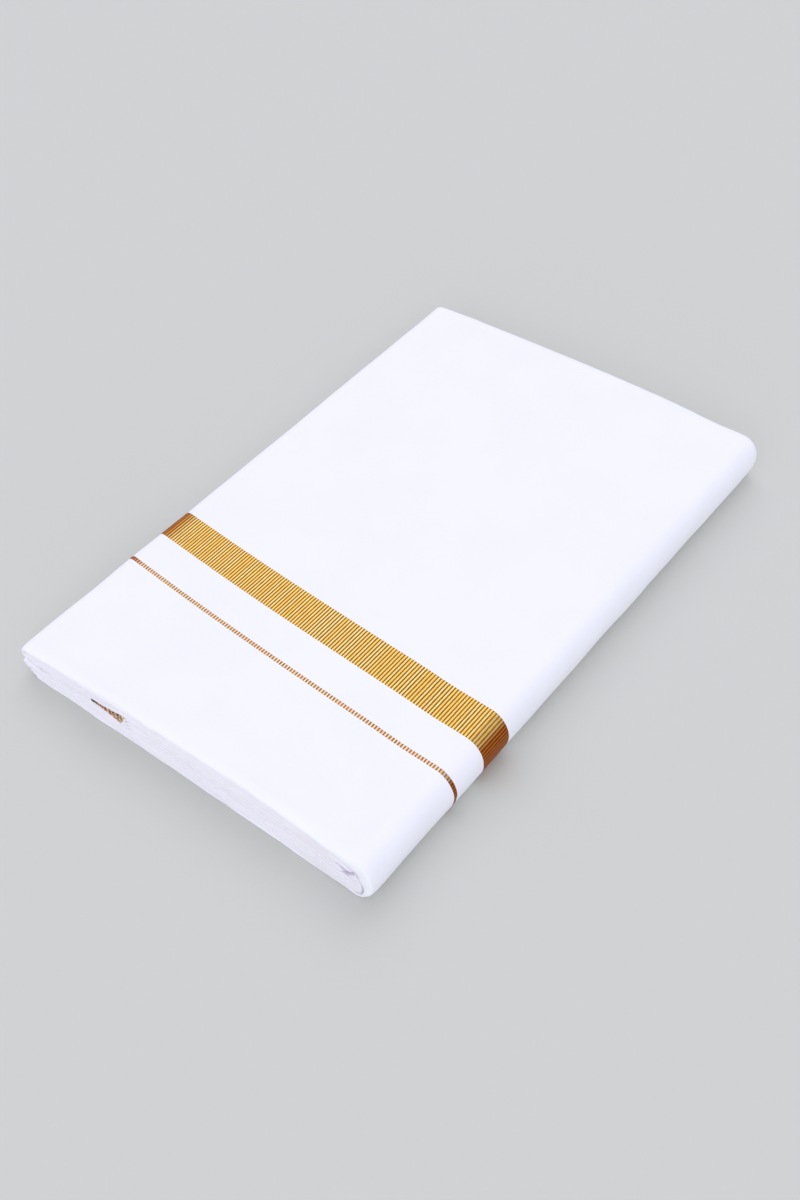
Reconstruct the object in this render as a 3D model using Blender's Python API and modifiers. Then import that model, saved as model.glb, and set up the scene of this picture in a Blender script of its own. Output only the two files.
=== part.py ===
# A folded cotton dhoti with a ribbed gold border and one thin gold line, lying flat as a pack.
# The long cloth is first folded to the pack's length, then halved four times to its width, so
# sixteen strips lie on each other. The last fold is the round spine at +X. At -X the strips
# turn back in an upper and a lower lip with a notch between them. +Y is the far side.
import math

import bmesh
import bpy
from mathutils import Vector

# Pack
WIDTH = 0.240
LENGTH = 0.380
HEIGHT = 0.0278  # before the crown, at the spine's shoulder
OPEN_HEIGHT = 0.0212  # at the open side, where the strips are only folded back
CROWN = 0.0016  # rise of the top's middle
SHOULDER_DIP = 0.0007  # long soft trough just before the spine
SWAY = 0.0005  # slow rise and fall of the top along the pack
SWAY_LENGTH = 0.300
SPINE_REACH = 0.0117

# Cloth
WALL = 0.0015  # one strip: the cloth's width folded to three layers
GAP = 0.0003  # between pieces
STRIPS_INSIDE = 7  # from the outer strip to the middle of the pack

# Open side
LIP_REACH = 0.0060
LIP_BASE = 0.0122  # underside of the upper lip
LIP_TUCK = 0.0010
# Lower lip, from its tuck down to the underside: column 1 from the open side, column 2 height
LOWER_LIP = (
    (0.0075, 0.0104),
    (0.0045, 0.0104),
    (0.0014, 0.0098),
    (0.0007, 0.0082),
    (0.0036, 0.0050),
    (0.0075, 0.0020),
    (0.0120, 0.0000),
)
NOSE_REACH = 0.0048  # fold that shows in the notch, from the open side
NOSE_HEIGHT = 0.0113
NOSE_HALF = 0.0005

# Rounded near and far ends
WRAP_SHORT = 0.0015  # the outer strip stops this far before the inner ones' noses
LAYERS_SHORT = 0.0005  # and the inner ones begin to round this far before it
LAYER_STEPS = 12
ROLL_LENGTH = 0.0060
ROLL_DEPTH = 0.0022
FLAT_HEIGHT = 0.004  # the underside stays flat, and the roll sets in over this height
NOSE_DEPTH = 0.0045  # how far the fold noses draw back towards the middle seam
NOSE_SHARE = 0.375  # where the noses reach furthest, from the outer strip to the seam
GROOVE = 0.0006
SEAM_SHARE = 0.04  # what is left of the outline's size at the middle seam
SEAM_DEPTH = 0.0070

# Middle seam, as seen from the near end: column 1 x, column 2 height
SEAM_LINE = (
    (-0.092, 0.0113),
    (-0.060, 0.0138),
    (-0.045, 0.0143),
    (0.000, 0.0138),
    (0.060, 0.0130),
    (0.104, 0.0125),
)

# Lens-shaped opening in the near end, where an inner fold of the border shows
LENS_TIP = -0.073
LENS_END = -0.044
LENS_HALF = 0.0026
LENS_BLUNT = 0.004
LENS_STEPS = 8
INNER_INSET = (0.0070, 0.0028)
INNER_BACK = 0.0012
INNER_LENGTH = 0.0032
INNER_SPARE = 0.0001
INNER_STATIONS = 9
INNER_POINTS = 9

# Crease at the near end of the spine, where the outer strips stand off the inner ones
CREASE_RING = 8
CREASE_DEPTH = 0.0045
CREASE_START = 0.094

# Gold, measured along Y at the middle of the top; both run a little askew and bowed
BAND_FAR = -0.0679
BAND_NEAR = -0.0901
LINE_MIDDLE = -0.1141
LINE_WIDTH = 0.0026
SLANT = 0.0752
BOW = 0.0034
BOW_LENGTH = 0.500
RIB_PITCH = 0.00188
RIB_RISE = 0.00035

WHITE = (0.90, 0.905, 0.94)
SHADE_WHITE = (0.80, 0.81, 0.86)
GOLD = (0.72, 0.48, 0.16)
DARK_GOLD = (0.50, 0.30, 0.09)

# Points along each stretch of the outer strip's section, in order from the notch round the pack
STRETCH_STEPS = (
    ("tuck", 1),
    ("upper lip", 7),
    ("top", 15),
    ("spine", 11),
    ("underside", 4),
    ("lower lip", 8),
)
RIBBED = ("upper lip", "top", "spine")

# Shares of a stretch's length where its wall has a row of points, closer where it rolls or is ribbed
FAR_ROWS = (0.0, 0.14, 0.28, 0.42, 0.56, 0.70, 0.84, 0.974, 0.99, 1.0)
BAND_ROWS = (0.0, 0.06, 0.94, 1.0)


def ease(value):
    value = min(max(value, 0.0), 1.0)
    return value * value * (3 - 2 * value)


def swell(value, centre, spread):
    return math.exp(-(((value - centre) / spread) ** 2))


def table_value(table, x):
    for (x0, value0), (x1, value1) in zip(table, table[1:]):
        if x <= x1:
            return value0 + (value1 - value0) * ease((x - x0) / (x1 - x0))
    return table[-1][1]


def top_height(x):
    share = (x + WIDTH / 2) / (WIDTH - SPINE_REACH)
    rise = (HEIGHT - OPEN_HEIGHT) * math.sin(min(max(share, 0.0), 1.0) * math.pi / 2)
    return OPEN_HEIGHT + rise + CROWN * swell(share, 0.62, 0.34) - SHOULDER_DIP * swell(share, 0.9, 0.06)


def arc(centre, reach, rise, start, end, steps):
    angles = (math.radians(start + (end - start) * step / steps) for step in range(steps + 1))
    return [(centre[0] + reach * math.cos(a), centre[1] + rise * math.sin(a)) for a in angles]


def smooth_curve(points, steps):
    # A curve through all the points, with its slopes taken from their neighbours
    ends = [points[0]] + list(points) + [points[-1]]
    curve = [points[0]]
    for before, start, end, after in zip(ends, ends[1:], ends[2:], ends[3:]):
        for step in range(1, steps + 1):
            t = step / steps
            weights = (
                -0.5 * t + t * t - 0.5 * t**3,
                1 - 2.5 * t * t + 1.5 * t**3,
                0.5 * t + 2 * t * t - 1.5 * t**3,
                -0.5 * t * t + 0.5 * t**3,
            )
            curve.append(
                tuple(
                    sum(w * p[axis] for w, p in zip(weights, (before, start, end, after)))
                    for axis in (0, 1)
                )
            )
    return curve


def section_stretches():
    open_side = -WIDTH / 2
    lip_x = open_side + LIP_REACH
    lip_half = (top_height(lip_x) - LIP_BASE) / 2
    spine_x = WIDTH / 2 - SPINE_REACH
    spine_half = top_height(spine_x) / 2
    lower = [(open_side + inset, height) for inset, height in reversed(LOWER_LIP)]
    top = [lip_x + (spine_x - lip_x) * step / 120 for step in range(121)]
    return {
        "tuck": [(lip_x + LIP_TUCK, LIP_BASE), (lip_x, LIP_BASE)],
        "upper lip": arc((lip_x, LIP_BASE + lip_half), LIP_REACH, lip_half, 270, 90, 40),
        "top": [(x, top_height(x)) for x in top],
        "spine": arc((spine_x, spine_half), SPINE_REACH, spine_half, 90, -90, 60),
        "underside": [(spine_x, 0.0), lower[0]],
        "lower lip": smooth_curve(lower, 10),
    }


def measured_path():
    # The whole section as one line, with the length run at each point and at each stretch's end
    points, runs, ends = [], [], {}
    for name, stretch in section_stretches().items():
        start = runs[-1] if runs else 0.0
        for point in stretch if not points else stretch[1:]:
            if points:
                runs.append(runs[-1] + math.dist(points[-1], point))
            else:
                runs.append(0.0)
            points.append(point)
        ends[name] = (start, runs[-1])
    return points, runs, ends


PATH, RUNS, STRETCH_ENDS = measured_path()
MIDDLE_RUN = RUNS[min((i for i in range(len(PATH)) if PATH[i][1] > LIP_BASE), key=lambda i: abs(PATH[i][0]))]


def path_point(run):
    run = min(max(run, 0.0), RUNS[-1])
    low, high = 0, len(RUNS) - 1
    while high - low > 1:
        middle = (low + high) // 2
        if RUNS[middle] <= run:
            low = middle
        else:
            high = middle
    share = (run - RUNS[low]) / (RUNS[high] - RUNS[low])
    return tuple(PATH[low][axis] + share * (PATH[high][axis] - PATH[low][axis]) for axis in (0, 1))


def outward(run):
    reach = 0.0006
    ahead, behind = path_point(run + reach), path_point(run - reach)
    along_x, along_z = ahead[0] - behind[0], ahead[1] - behind[1]
    length = math.hypot(along_x, along_z)
    return -along_z / length, along_x / length


def cloth_point(run, y, depth):
    # A point of the pack this deep under its outer surface. Near both ends the cloth rolls inwards
    x, z = path_point(run)
    out_x, out_z = outward(run)
    rolled = max((abs(y) - LENGTH / 2 + ROLL_LENGTH) / ROLL_LENGTH, 0.0)
    held = ease(z / FLAT_HEIGHT)
    slope = 2 * rolled * held * ROLL_DEPTH / ROLL_LENGTH
    depth = depth * math.hypot(1, slope) + ROLL_DEPTH * rolled**2 * held
    share = z / HEIGHT
    x -= out_x * depth
    z -= out_z * depth
    sway = SWAY * math.sin(2 * math.pi * y / SWAY_LENGTH + 3 * x / WIDTH)
    return Vector((x, y, z + sway * share))


def plain_runs():
    runs = []
    for name, steps in STRETCH_STEPS:
        start, end = STRETCH_ENDS[name]
        runs += [start + (end - start) * step / steps for step in range(steps)]
    return runs + [RUNS[-1]]


def run_at(stretch, x):
    # Where the path passes this x on its top or its underside
    start, end = STRETCH_ENDS[stretch]
    low, high = path_point(start)[0], path_point(end)[0]
    run = start + (end - start) * (x - low) / (high - low)
    for _ in range(4):
        run += (x - path_point(run)[0]) * (1 if high > low else -1)
    return run


def layer_runs():
    # The plain points, and closer ones above and below the lens
    tip, end = LENS_TIP - LENS_BLUNT / 2, LENS_END + LENS_BLUNT / 4
    lens = [tip + (end - tip) * step / LENS_STEPS for step in range(LENS_STEPS + 1)]
    close = [run_at(stretch, x) for stretch in ("top", "underside") for x in lens]
    spare = 0.0025
    plain = [run for run in plain_runs() if min(abs(run - other) for other in close) > spare]
    return sorted(plain + close)


def ribbed_runs():
    # Two points a rib where the ribs show, and the plain points elsewhere
    first, last = STRETCH_ENDS[RIBBED[0]][0], STRETCH_ENDS[RIBBED[-1]][1]
    count = 2 * int((last - first) / RIB_PITCH)
    ribs = [first + (last - first) * step / count for step in range(count + 1)]
    plain = plain_runs()
    reach = RIB_PITCH / 4
    return [r for r in plain if r < first - reach] + ribs + [r for r in plain if r > last + reach]


def slanted(y):
    def line(run):
        past = run - MIDDLE_RUN
        return y - SLANT * past - BOW * math.cos(2 * math.pi * past / BOW_LENGTH)

    return line


def squared(y):
    return lambda run: y


def material(name, color, roughness, metallic=0.0):
    made = bpy.data.materials.new(name)
    made.use_nodes = True
    shader = made.node_tree.nodes["Principled BSDF"]
    shader.inputs["Base Color"].default_value = (*color, 1.0)
    shader.inputs["Roughness"].default_value = roughness
    shader.inputs["Metallic"].default_value = metallic
    made.diffuse_color = (*color, 1.0)
    return made


def add_piece(name, points, faces, finish):
    mesh = bpy.data.meshes.new(name)
    mesh.from_pydata(points, [], faces)
    mesh.materials.append(finish)
    piece = bpy.data.objects.new(name, mesh)
    bpy.data.collections["dhoti_cloth"].objects.link(piece)
    return piece


def loop_faces(rows, count):
    # Closed loops joined one to the next, with a flat face over the first and the last
    faces = [
        (row * count + i, (row + 1) * count + i, (row + 1) * count + after, row * count + after)
        for row in range(rows - 1)
        for i, after in ((i, (i + 1) % count) for i in range(count))
    ]
    faces.append(tuple(range(count)))
    faces.append(tuple(reversed(range((rows - 1) * count, rows * count))))
    return faces


def cloth_sheet(name, runs, near, far, shares, finish):
    # An open sheet of the outer surface between two lines across the strip, with one wall thickness
    points = []
    for share in shares:
        for run in runs:
            y = near(run) * (1 - share) + far(run) * share
            points.append(cloth_point(run, y, 0.0))
    columns = len(runs)
    faces = [
        (row * columns + i, row * columns + i + 1, (row + 1) * columns + i + 1, (row + 1) * columns + i)
        for row in range(len(shares) - 1)
        for i in range(columns - 1)
    ]
    sheet = add_piece(name, points, faces, finish)
    thickness = sheet.modifiers.new("Wall", "SOLIDIFY")
    thickness.thickness = WALL
    thickness.offset = -1
    thickness.use_even_offset = True
    return sheet


def raise_ribs(sheet, runs, rows):
    # The wall's outer points come first in its mesh. Every second line of them is raised
    graph = bpy.context.evaluated_depsgraph_get()
    wall = bpy.data.meshes.new_from_object(sheet.evaluated_get(graph))
    first, last = STRETCH_ENDS[RIBBED[0]][0], STRETCH_ENDS[RIBBED[-1]][1]
    ribs = [i for i, run in enumerate(runs) if first <= run <= last][1::2]
    for row in range(1, rows - 1):
        for i in ribs:
            out_x, out_z = outward(runs[i])
            clear = ease(path_point(runs[i])[1] / 0.003)
            wall.vertices[row * len(runs) + i].co += Vector((out_x, 0, out_z)) * RIB_RISE * clear
    sheet.modifiers.clear()
    sheet.data = wall
    return sheet


def notch_outline():
    # From the lower lip's tuck to the upper lip's, round the one fold that shows between them
    side = -WIDTH / 2
    lower_x = side + LOWER_LIP[0][0] + GAP
    upper_x = side + LIP_REACH + LIP_TUCK + GAP
    nose_x = side + NOSE_REACH
    under, over = NOSE_HEIGHT - NOSE_HALF, NOSE_HEIGHT + NOSE_HALF
    return [
        (lower_x, LOWER_LIP[0][1] - WALL - GAP),
        (lower_x, under),
        (nose_x + NOSE_HALF, under),
        (nose_x, NOSE_HEIGHT),
        (nose_x + NOSE_HALF, over),
        (upper_x, over),
        (upper_x, LIP_BASE + WALL + GAP),
    ]


def layer_outline(y):
    # Closed outline of the strips inside the outer one
    wrapped = [cloth_point(run, y, WALL + GAP) for run in layer_runs()]
    return wrapped + [Vector((x, y, z)) for x, z in notch_outline()]


def lens_half(x):
    opening = ease((x - LENS_TIP) / (LENS_END - LENS_TIP - LENS_BLUNT))
    return LENS_HALF * opening * ease((LENS_END - x) / LENS_BLUNT)


def end_ring(outline, ring, rings, side):
    # One line of an end cap: odd rings are the strips' noses, even ones the grooves between them
    share = ring / rings
    scale = 1 - (1 - SEAM_SHARE) * share
    near = side < 0
    points = []
    for point in outline:
        middle_x = min(max(point.x, SEAM_LINE[0][0]), SEAM_LINE[-1][0])
        middle_z = table_value(SEAM_LINE, middle_x)
        x = middle_x + (point.x - middle_x) * scale
        z = middle_z + (point.z - middle_z) * scale
        back = NOSE_DEPTH * (abs(share - NOSE_SHARE) / (1 - NOSE_SHARE)) ** 3
        if ring % 2 == 0:
            back += GROOVE
        if near:
            above = 1 if point.z > middle_z else -1
            z += above * lens_half(x) * share**2
            if ring == CREASE_RING and above < 0:
                back += CREASE_DEPTH * ease((point.x - CREASE_START) / 0.010)
        points.append(Vector((x, side * (LENGTH / 2 - back), z)))
    return points


def hidden_layers(finish):
    end_y = LENGTH / 2 - WRAP_SHORT - LAYERS_SHORT
    even = [end_y * (2 * step / LAYER_STEPS - 1) for step in range(LAYER_STEPS + 1)]
    rolled = [end_y - ROLL_LENGTH * share for share in (0.2, 0.5)]
    sides = [layer_outline(y) for y in sorted(even + rolled + [-y for y in rolled])]
    rings = 2 * STRIPS_INSIDE
    near_end = [end_ring(sides[0], ring, rings, -1) for ring in range(1, rings + 1)]
    far_end = [end_ring(sides[-1], ring, rings, 1) for ring in range(1, rings + 1)]
    into = Vector((0, SEAM_DEPTH, 0))
    near_seam = [point + into for point in near_end[-1]]
    far_seam = [point - into for point in far_end[-1]]
    loops = [near_seam] + near_end[::-1] + sides + far_end + [far_seam]
    points = [point for loop in loops for point in loop]
    return add_piece("hidden_layers", points, loop_faces(len(loops), len(loops[0])), finish)


def inner_border(finish):
    # The inner fold of the border: a round nose that fills the lens, a little way in
    front_y = -LENGTH / 2 + NOSE_DEPTH + INNER_BACK
    start, end = LENS_TIP + INNER_INSET[0], LENS_END - INNER_INSET[1]
    points = []
    for station in range(INNER_STATIONS):
        x = start + (end - start) * station / (INNER_STATIONS - 1)
        half = lens_half(x) + INNER_SPARE
        middle = table_value(SEAM_LINE, x)
        for step in range(INNER_POINTS):
            angle = math.pi * step / (INNER_POINTS - 1)
            y = front_y + INNER_LENGTH * (1 - math.sin(angle))
            points.append((x, y, middle + half * math.cos(angle)))
    return add_piece("inner_zari", points, loop_faces(INNER_STATIONS, INNER_POINTS), finish)


def face_out(piece):
    shape = bmesh.new()
    shape.from_mesh(piece.data)
    bmesh.ops.recalc_face_normals(shape, faces=shape.faces)
    shape.to_mesh(piece.data)
    shape.free()


def build():
    for old in list(bpy.data.objects):
        bpy.data.objects.remove(old)
    bpy.context.scene.collection.children.link(bpy.data.collections.new("dhoti_cloth"))

    end_y = LENGTH / 2 - WRAP_SHORT
    line_near, line_far = LINE_MIDDLE - LINE_WIDTH / 2, LINE_MIDDLE + LINE_WIDTH / 2
    plain = plain_runs()
    # Each stretch of the outer strip: name, near edge, far edge, shares of its length with a row of points
    stretches = (
        ("front_wrap", squared(-end_y), slanted(line_near - GAP), (0.0, 0.03, 0.08, 0.45, 1.0)),
        ("zari_line", slanted(line_near), slanted(line_far), (0.0, 1.0)),
        ("middle_wrap", slanted(line_far + GAP), slanted(BAND_NEAR - GAP), (0.0, 0.5, 1.0)),
        ("far_wrap", slanted(BAND_FAR + GAP), squared(end_y), FAR_ROWS),
    )
    for name, near, far, rows in stretches:
        gold = name == "zari_line"
        finish = material(name, GOLD if gold else WHITE, 0.4 if gold else 0.85, 0.6 if gold else 0.0)
        cloth_sheet(name, plain, near, far, rows, finish)
    ribbed = ribbed_runs()
    zari = material("zari_band", GOLD, 0.38, 0.6)
    band = cloth_sheet("zari_band", ribbed, slanted(BAND_NEAR), slanted(BAND_FAR), BAND_ROWS, zari)
    raise_ribs(band, ribbed, len(BAND_ROWS))
    face_out(hidden_layers(material("hidden_layers", SHADE_WHITE, 0.9)))
    face_out(inner_border(material("inner_zari", DARK_GOLD, 0.45, 0.5)))
    for piece in bpy.data.collections["dhoti_cloth"].objects:
        piece.data.shade_smooth()


build()
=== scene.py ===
# A folded white cotton dhoti with a ribbed gold border and a thin gold line, lying as a pack.
# All lengths are in metres, in the frame of the CAD model.
import math

import bpy
import numpy as np
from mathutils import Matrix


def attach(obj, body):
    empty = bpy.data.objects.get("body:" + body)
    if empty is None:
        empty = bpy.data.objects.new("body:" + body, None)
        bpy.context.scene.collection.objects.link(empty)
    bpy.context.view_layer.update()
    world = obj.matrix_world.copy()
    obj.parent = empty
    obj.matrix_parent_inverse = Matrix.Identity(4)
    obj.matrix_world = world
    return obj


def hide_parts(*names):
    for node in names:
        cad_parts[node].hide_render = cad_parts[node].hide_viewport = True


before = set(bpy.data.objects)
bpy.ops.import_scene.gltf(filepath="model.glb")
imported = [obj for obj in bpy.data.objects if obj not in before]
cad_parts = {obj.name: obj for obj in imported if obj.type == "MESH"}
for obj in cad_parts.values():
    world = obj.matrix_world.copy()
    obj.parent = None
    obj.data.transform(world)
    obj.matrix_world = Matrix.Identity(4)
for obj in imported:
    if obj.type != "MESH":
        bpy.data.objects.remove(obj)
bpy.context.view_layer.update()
bpy.ops.object.select_all(action="DESELECT")
print("frame loaded:", sorted(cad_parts))

# The pack's own sizes, the same as the solids'

pack = {
    "width": 0.240,
    "length": 0.380,
    "height": 0.0278,
    "openHeight": 0.0212,  # at the open side
    "crown": 0.0016,
    "shoulderDip": 0.0007,
    "sway": 0.0005,
    "swayLength": 0.300,
    "spineReach": 0.0117,
    "lipReach": 0.0060,
    "lipBase": 0.0122,  # underside of the upper lip
    "lipTuck": 0.0065,
    "lowerTop": 0.0104,  # top of the lower bundle at the open side
    "strips": 8,  # in each of the two arms, from outside to the seam
    "flatHeight": 0.004,
}

# Where the two arms meet, seen from the near end: x and height
seamLine = np.array([
    (-0.1160, 0.0113), (-0.0920, 0.0113), (-0.0600, 0.0138), (-0.0450, 0.0143),
    (0.0, 0.0138), (0.0600, 0.0130), (0.1040, 0.0125), (0.1200, 0.0125),
])

# The same at the near end, where the arms part in a lens:
# x, underside of the upper arm, top of the lower arm
nearSeam = np.array([
    (-0.1160, 0.0113, 0.0113), (-0.0920, 0.0126, 0.0126), (-0.0780, 0.0147, 0.0147),
    (-0.0690, 0.0149, 0.0149), (-0.0675, 0.0151, 0.0147), (-0.0655, 0.0156, 0.0142),
    (-0.0549, 0.0171, 0.0127), (-0.0463, 0.0180, 0.0104), (-0.0422, 0.0183, 0.0183),
    (-0.0400, 0.0178, 0.0178), (-0.0330, 0.0158, 0.0158), (-0.0200, 0.0144, 0.0144),
    (0.0, 0.0138, 0.0138), (0.0600, 0.0130, 0.0130), (0.1040, 0.0125, 0.0125), (0.1200, 0.0125, 0.0125),
])

border = {
    "bandFar": -0.0679,
    "bandNear": -0.0901,
    "lineMiddle": -0.1141,
    "lineWidth": 0.0026,
    "slant": 0.0752,
    "bow": 0.0034,
    "bowLength": 0.500,
    "ribPitch": 0.00188,
    "ribRise": 0.00017,
    "lineRise": 0.00012,
}


def ease(value):
    value = np.clip(value, 0.0, 1.0)
    return value * value * (3 - 2 * value)


def swell(value, centre, spread):
    return np.exp(-(((value - centre) / spread) ** 2))


def softWaves(seed, shortest, longest, count=9):
    # A smooth uneven line: waves of several lengths with seeded starts, about -1 to 1
    draw = np.random.RandomState(seed)
    lengths = shortest * (longest / shortest) ** draw.rand(count)
    starts = draw.rand(count) * 2 * math.pi
    sizes = 0.6 + 0.4 * draw.rand(count)

    def line(run):
        run = np.asarray(run, float)[..., None]
        return (sizes * np.sin(2 * math.pi * run / lengths + starts)).sum(-1) / math.sqrt(count)

    return line


def topHeight(x):
    share = (x + pack["width"] / 2) / (pack["width"] - pack["spineReach"])
    rise = (pack["height"] - pack["openHeight"]) * np.sin(np.clip(share, 0, 1) * math.pi / 2)
    return (
        pack["openHeight"] + rise
        + pack["crown"] * swell(share, 0.62, 0.34) - pack["shoulderDip"] * swell(share, 0.9, 0.06)
    )


def arcPoints(centre, reach, rise, start, end, steps, full=1.0):
    # full under 1 squares the arc's lower half
    angles = np.radians(np.linspace(start, end, steps + 1))
    across, up = np.cos(angles), np.sin(angles)
    power = np.where(up < 0, full, 1.0)
    across, up = [np.sign(part) * np.abs(part) ** power for part in (across, up)]
    return np.stack([centre[0] + reach * across, centre[1] + rise * up], 1)


def smoothCurve(points, steps):
    # A curve through all the points, with its slopes taken from their neighbours
    ends = [points[0]] + list(points) + [points[-1]]
    curve = [points[0]]
    for before, start, end, after in zip(ends, ends[1:], ends[2:], ends[3:]):
        for step in range(1, steps + 1):
            t = step / steps
            weights = (
                -0.5 * t + t * t - 0.5 * t**3,
                1 - 2.5 * t * t + 1.5 * t**3,
                0.5 * t + 2 * t * t - 1.5 * t**3,
                -0.5 * t * t + 0.5 * t**3,
            )
            around = list(zip(weights, (before, start, end, after)))
            curve.append([sum(weight * point[axis] for weight, point in around) for axis in (0, 1)])
    return np.array(curve)


class Section:
    # A line across the pack, seen from its near end, measured by the length run along it
    def __init__(self, stretches):
        self.ends = {}
        points = []
        for name, stretch in stretches:
            first = len(points)
            points += [tuple(p) for p in stretch[(1 if points else 0):]]
            self.ends[name] = (max(first - 1, 0), len(points) - 1)
        self.points = np.array(points)
        steps = np.hypot(*np.diff(self.points, axis=0).T)
        self.runs = np.concatenate([[0.0], np.cumsum(steps)])
        self.ends = {name: (self.runs[a], self.runs[b]) for name, (a, b) in self.ends.items()}

    def at(self, run):
        return np.interp(run, self.runs, self.points[:, 0]), np.interp(run, self.runs, self.points[:, 1])

    def outward(self, run, reach=0.0004):
        aheadX, aheadZ = self.at(run + reach)
        behindX, behindZ = self.at(run - reach)
        alongX, alongZ = aheadX - behindX, aheadZ - behindZ
        length = np.maximum(np.hypot(alongX, alongZ), 1e-9)
        return -alongZ / length, alongX / length

    def columns(self, steps):
        runs = []
        for name, count in steps:
            start, end = self.ends[name]
            runs += [start + (end - start) * step / count for step in range(count)]
        return np.array(runs + [self.runs[-1]])


def fromOpenSide(insets):
    return [(-pack["width"] / 2 + inset / 1000, height / 1000) for inset, height in insets]


lipX = -pack["width"] / 2 + pack["lipReach"]
spineX = pack["width"] / 2 - pack["spineReach"]
lipHalf = (float(topHeight(lipX)) - pack["lipBase"]) / 2
spineHalf = float(topHeight(spineX)) / 2
topX = np.linspace(lipX, spineX, 121)

outer = Section([
    ("tuck", [(lipX + pack["lipTuck"], pack["lipBase"]), (lipX, pack["lipBase"])]),
    ("upperLip", arcPoints((lipX, pack["lipBase"] + lipHalf), pack["lipReach"], lipHalf, 270, 90, 40, 0.5)),
    ("top", np.stack([topX, topHeight(topX)], 1)),
    ("spine", arcPoints((spineX, spineHalf), pack["spineReach"], spineHalf, 90, -90, 60)),
    ("underside", [(spineX, 0.0), (-pack["width"] / 2 + 0.0125, 0.0)]),
    ("bottomFold", smoothCurve(fromOpenSide(
        [(12.5, 0.0), (9.4, 0.12), (8.0, 1.3), (9.2, 2.45), (12.0, 2.6), (16.0, 2.6)]), 8)),
])
# Two loose edges and the fold above them, low on the open side
lowerFold = Section([
    ("edges", smoothCurve(fromOpenSide(
        [(17.0, 2.75), (8.4, 2.78), (6.7, 2.9), (6.2, 3.35), (6.7, 3.8), (8.4, 3.95), (11.5, 4.0),
         (8.4, 4.06), (5.0, 4.2), (4.5, 4.65), (5.0, 5.1), (7.2, 5.2), (11.5, 5.27)]), 7)),
    ("fold", smoothCurve(fromOpenSide(
        [(11.5, 5.27), (7.2, 5.36), (4.3, 5.5), (2.2, 6.1), (0.9, 7.2), (0.2, 8.5), (0.1, 9.9), (1.1, 10.8),
         (3.0, 10.75), (6.0, 10.45), (15.0, 10.4)]), 7)),
])
# The thin fold that shows in the notch between the two lips
notchFold = Section([
    ("fold", smoothCurve(fromOpenSide(
        [(24.0, 11.7), (16.0, 10.8), (6.4, 10.78), (5.2, 10.95), (4.8, 11.3), (5.2, 11.65), (6.4, 11.82),
         (16.0, 11.9), (24.0, 12.4)]), 6)),
])

middleRun = float(np.interp(0.0, topX, np.linspace(*outer.ends["top"], 121)))


def seamHeight(x):
    return np.interp(x, seamLine[:, 0], seamLine[:, 1])


def nearSeamHeight(x, column, level=0.0):
    # The edges ease off in the strips away from them; level is 0 beside them, 1 at the pack's outside
    reach = 0.0002 + 0.0075 * level + 0.0016 * ease(level / 0.16)
    shifts = np.linspace(-1, 1, 9)
    return np.mean([np.interp(x + reach * shift, nearSeam[:, 0], nearSeam[:, column]) for shift in shifts], 0)


def seams(x, near, level=0.0):
    # Heights of the upper arm's underside and the lower arm's top
    parted = ease((-0.095 - x) / 0.014)
    if near:
        upper, lower = nearSeamHeight(x, 1, level), nearSeamHeight(x, 2, level)
    else:
        upper, lower = seamHeight(x) + 0.0001, seamHeight(x) - 0.0001
    return upper + (pack["lipBase"] - upper) * parted, lower + (pack["lowerTop"] - lower) * parted


def stripThickness(x, z):
    upper, lower = seams(x, False)
    inUpper = ease((z - 0.006) / 0.012)
    return ((topHeight(x) - upper) * inUpper + lower * (1 - inUpper)) / pack["strips"]


def swayed(x, y, z):
    lift = pack["sway"] * np.sin(2 * math.pi * y / pack["swayLength"] + 3 * x / pack["width"])
    return z + lift * z / pack["height"]


# The outer strip

# Soft uneven creases of the top: from x, y to x, y, width and depth; a minus depth is a ridge
creases = {
    "top": [
        (-0.112, -0.176, -0.040, -0.183, 0.0045, 0.00035),
        (0.010, -0.184, 0.082, -0.178, 0.0040, 0.00030),
        (0.094, -0.186, 0.104, -0.150, 0.0050, 0.00045),
        (0.104, -0.184, 0.112, -0.128, 0.0035, -0.00030),
        (-0.116, -0.160, -0.085, -0.120, 0.0060, 0.00025),
        (-0.118, -0.060, -0.090, -0.020, 0.0060, 0.00030),
        (-0.060, -0.130, 0.030, -0.126, 0.0070, 0.00018),
        (-0.118, 0.060, -0.070, 0.080, 0.0070, 0.00030),
        (-0.112, 0.184, -0.030, 0.176, 0.0050, 0.00035),
        (0.020, 0.180, 0.096, 0.186, 0.0045, 0.00030),
        (0.096, 0.186, 0.104, 0.140, 0.0050, 0.00040),
        (0.100, 0.010, 0.108, 0.080, 0.0050, 0.00030),
        (-0.030, 0.040, 0.060, 0.120, 0.0120, 0.00022),
        (-0.080, 0.140, 0.010, 0.100, 0.0120, -0.00020),
    ],
    "spine": [
        (0.006, -0.150, 0.016, -0.100, 0.0035, 0.00030),
        (0.014, -0.060, 0.010, 0.030, 0.0035, 0.00025),
        (0.008, 0.060, 0.018, 0.150, 0.0035, 0.00030),
    ],
}


def nearLine(x, y, crease):
    # How far a point is from a crease's line, in shares of the crease's width
    x0, y0, x1, y1, width = crease[:5]
    alongX, alongY = x1 - x0, y1 - y0
    share = np.clip(((x - x0) * alongX + (y - y0) * alongY) / (alongX**2 + alongY**2), 0, 1)
    away = np.hypot(x - x0 - share * alongX, y - y0 - share * alongY)
    fade = np.sin(math.pi * np.clip(0.08 + 0.84 * share, 0, 1)) ** 0.6
    return away / width, fade


broadWaves = softWaves(3, 0.045, 0.140)
sideWaves = softWaves(5, 0.030, 0.110)


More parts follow.
